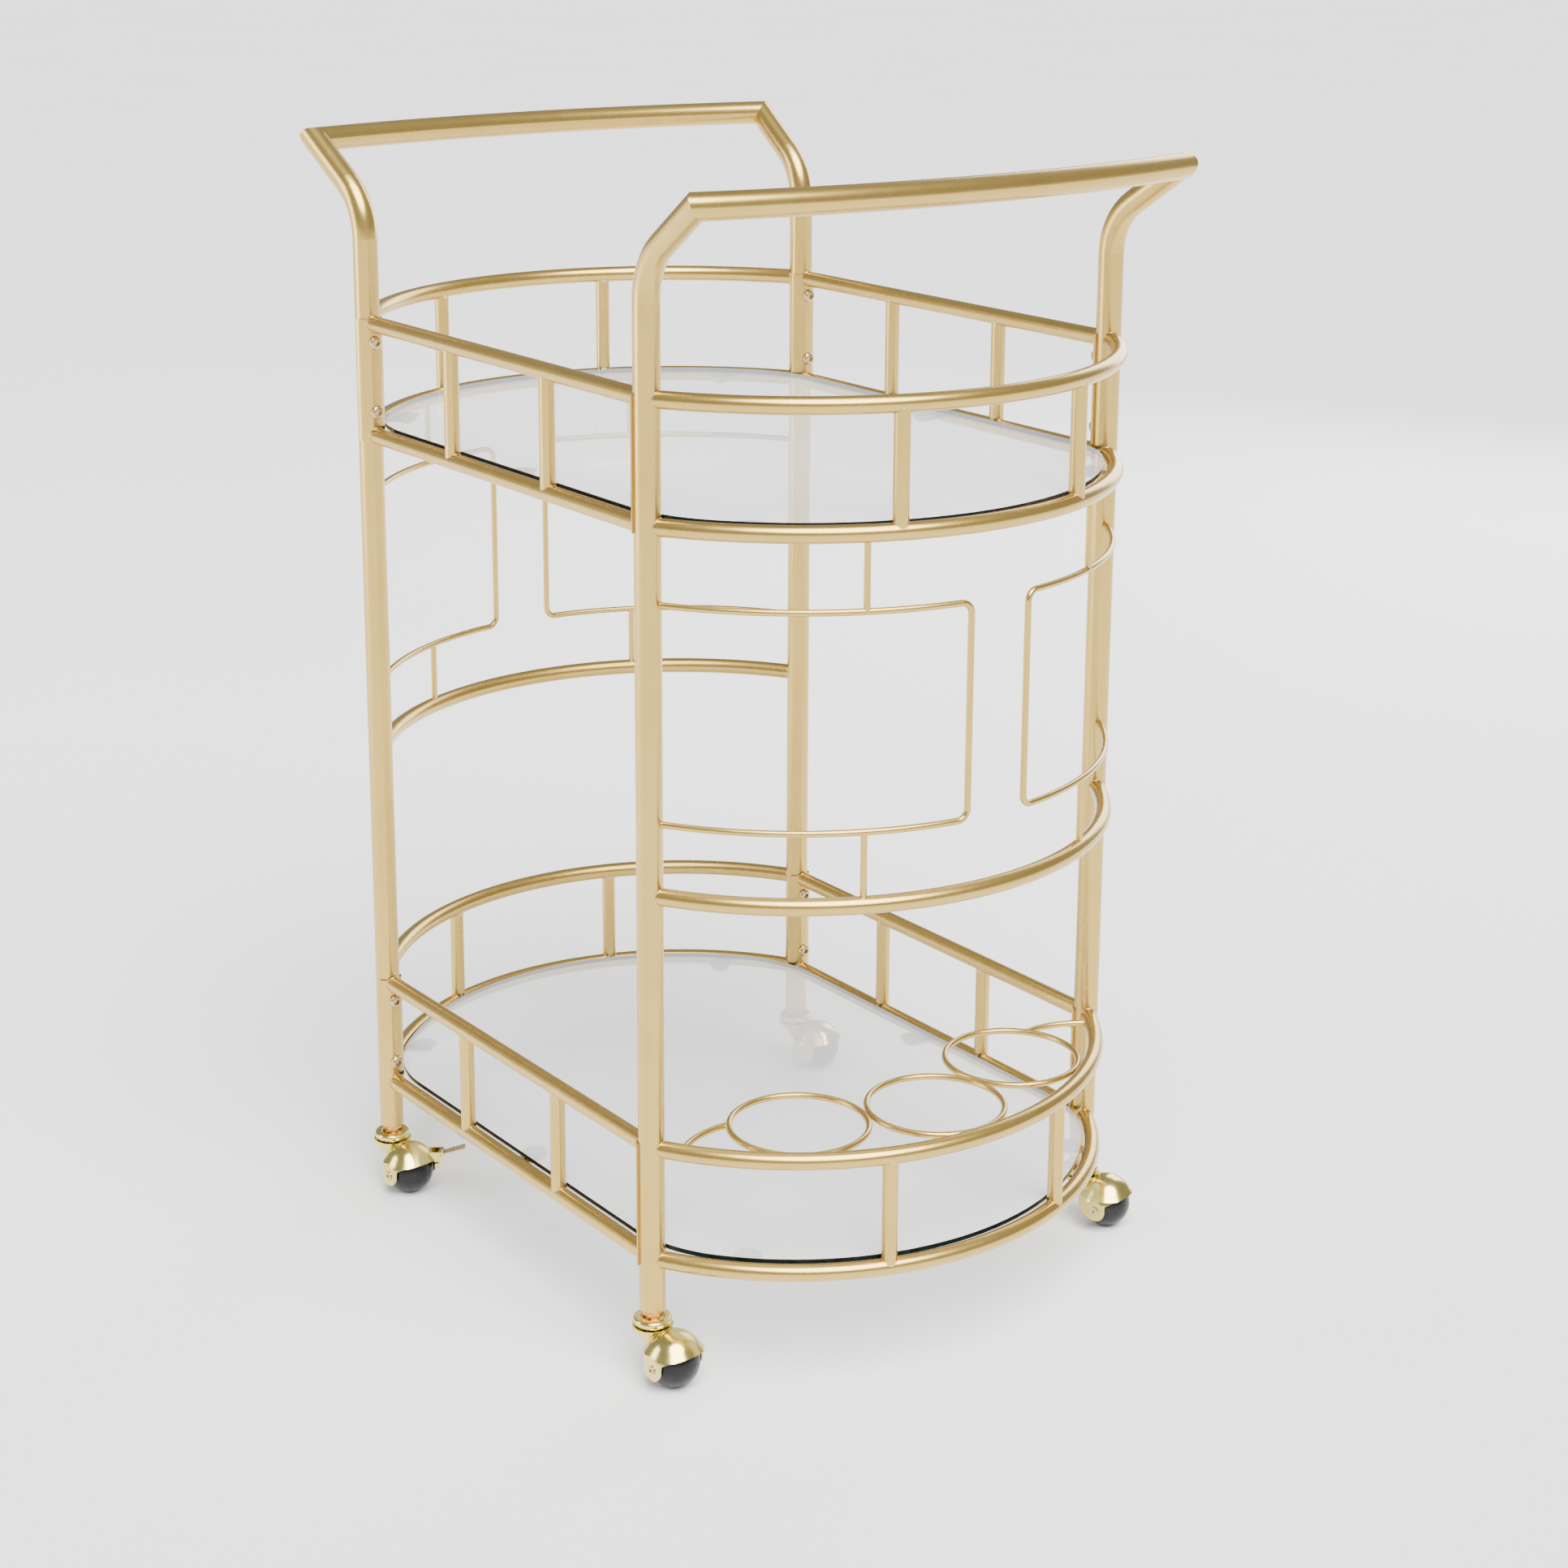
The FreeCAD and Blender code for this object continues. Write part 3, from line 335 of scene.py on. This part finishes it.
def seam_curve(name, rings, radius):
    """Weld seams as one curve object: each ring is a closed line with a slightly uneven bead."""
    data = bpy.data.curves.new(name, "CURVE")
    data.dimensions = "3D"
    data.bevel_depth = radius
    data.bevel_resolution = 2
    data.use_fill_caps = True
    rng = random.Random(7)
    for ring in rings:
        spline = data.splines.new("POLY")
        spline.points.add(len(ring) - 1)
        spline.use_cyclic_u = True
        for point, place in zip(spline.points, ring):
            point.co = (*place, 1.0)
            point.radius = rng.uniform(*SEAM_UNEVEN)
    add_to_frame(name, data)


def rail_rings():
    """Where the bowed rails meet the posts, and the side rails meet the saddles."""
    rings = []
    for post in POSTS.values():
        end = math.copysign(1, post.x)
        side = math.copysign(1, post.y)
        outward = Vector((end * math.sin(BOW_END_ANGLE), -side * math.cos(BOW_END_ANGLE), 0))
        for name, z in RAIL_Z.items():
            foot = Vector((post.x, post.y, z))
            rings.append(seam_points(foot, UP, POST_R, outward, RAIL_R))
            if name != "mid_bow":
                rings.append(seam_points(foot, UP, SADDLE_R, Vector((-end, 0, 0)), RAIL_R))
    return rings


def baluster_feet():
    """Both ends of each baluster: place, the rail's direction, the way inward, the baluster's direction."""
    feet = []
    for low_name, high_name in TIERS:
        for z, direction in ((RAIL_Z[low_name], UP), (RAIL_Z[high_name], -UP)):
            for side in (-1, 1):
                for x in (-BALUSTER_X, BALUSTER_X):
                    feet.append((Vector((x, side * HALF_Y, z)), ALONG, Vector((0, -side, 0)), direction))
                cos = math.cos(side * BALUSTER_ANGLE)
                sin = math.sin(side * BALUSTER_ANGLE)
                for end in (-1, 1):
                    foot = Vector((end * (BOW_X + BOW_R * cos), BOW_R * sin, z))
                    tangent = Vector((-end * sin, cos, 0))
                    feet.append((foot, tangent, Vector((-end * cos, -sin, 0)), direction))
    return feet


def bead_mesh(name, feet):
    """Lumpy weld beads in the inner corner of each baluster and rail."""
    mesh = bpy.data.meshes.new(name)
    bm = bmesh.new()
    rng = random.Random(11)
    for foot, _, inward, direction in feet:
        out = (inward * BEAD_OUT[0] + direction * BEAD_OUT[1]).normalized()
        centre = foot + inward * (RAIL_R * BEAD_PLACE[0]) + direction * (RAIL_R * BEAD_PLACE[1])
        along = inward.cross(direction).normalized()
        turn = Matrix((along, out, along.cross(out))).transposed().to_4x4()
        for shift in BEAD_SHIFTS:
            for vert in bmesh.ops.create_icosphere(bm, subdivisions=3, radius=BEAD_R)["verts"]:
                p = vert.co.copy()
                for axis, share in enumerate(BEAD_SHAPE):
                    p[axis] *= share
                lump = LUMP_DEPTH * math.sin(p.x * LUMP_WAVE + shift * LUMP_PHASE)
                p *= 1 + lump + rng.uniform(-LUMP_NOISE, LUMP_NOISE)
                vert.co = turn @ p + centre + along * (BEAD_R * shift * rng.uniform(*BEAD_SPREAD))
    for face in bm.faces:
        face.smooth = True
    bm.to_mesh(mesh)
    bm.free()
    add_to_frame(name, mesh)


FEET = baluster_feet()
seam_curve("rail_weld_seams", rail_rings(), RAIL_SEAM_R)
seam_curve("baluster_weld_seams",
           [seam_points(foot, rail, RAIL_R, direction, BALUSTER_R) for foot, rail, _, direction in FEET],
           BALUSTER_SEAM_R)
bead_mesh("baluster_weld_beads", FEET)


# ------------------------------------------------------------ room, light and camera

def make_stage():
    mesh = bpy.data.meshes.new("floor")
    bm = bmesh.new()
    bmesh.ops.create_grid(bm, x_segments=FLOOR_CELLS, y_segments=FLOOR_CELLS, size=FLOOR_HALF)
    bm.to_mesh(mesh)
    bm.free()
    floor = bpy.data.objects.new("floor", mesh)
    bpy.context.scene.collection.objects.link(floor)
    mesh.materials.append(make_floor())


def make_softbox(name, place, size):
    """A rectangular light that faces the cart."""
    data = bpy.data.lights.new(name, "AREA")
    data.shape = "RECTANGLE"
    data.size, data.size_y = size
    data.energy = SOFTBOX_POWER
    lamp = bpy.data.objects.new(name, data)
    bpy.context.scene.collection.objects.link(lamp)
    lamp.location = place
    lamp.rotation_euler = (Vector(SOFTBOX_AIM) - Vector(place)).to_track_quat("-Z", "Y").to_euler()


def make_soft_sun(name):
    """A wide, even light from one side of the room."""
    data = bpy.data.lights.new(name, "SUN")
    data.energy = SUN_STRENGTH
    data.angle = math.radians(SUN_WIDTH)
    lamp = bpy.data.objects.new(name, data)
    bpy.context.scene.collection.objects.link(lamp)
    lamp.rotation_euler = (math.radians(90 - SUN_DOWN), 0, math.radians(SUN_AZIMUTH))


def make_world():
    world = bpy.data.worlds.new("studio")
    world.use_nodes = True
    background = world.node_tree.nodes["Background"]
    background.inputs["Color"].default_value = (1.0, 1.0, 1.0, 1.0)
    background.inputs["Strength"].default_value = WORLD_STRENGTH
    bpy.context.scene.world = world


def make_camera():
    data = bpy.data.cameras.new("camera")
    data.lens = LENS
    data.sensor_width = SENSOR
    data.shift_y = LENS_SHIFT
    data.clip_end = CAMERA_REACH
    camera = bpy.data.objects.new("camera", data)
    bpy.context.scene.collection.objects.link(camera)
    camera.location = CAMERA_PLACE
    tilt = math.pi / 2 - math.radians(CAMERA_DOWN)
    aim = Euler((tilt, 0, math.radians(CAMERA_AZIMUTH)), "XYZ").to_matrix()
    camera.rotation_euler = (aim @ Matrix.Rotation(math.radians(CAMERA_ROLL), 3, "Z")).to_euler()
    bpy.context.scene.camera = camera


make_stage()
make_world()
make_soft_sun("room_light")
make_softbox("side_softbox", (-1.6, -2.8, 1.2), (1.2, 2.4))
make_softbox("back_softbox", (-1.2, 2.8, 1.6), (1.6, 2.2))
make_camera()
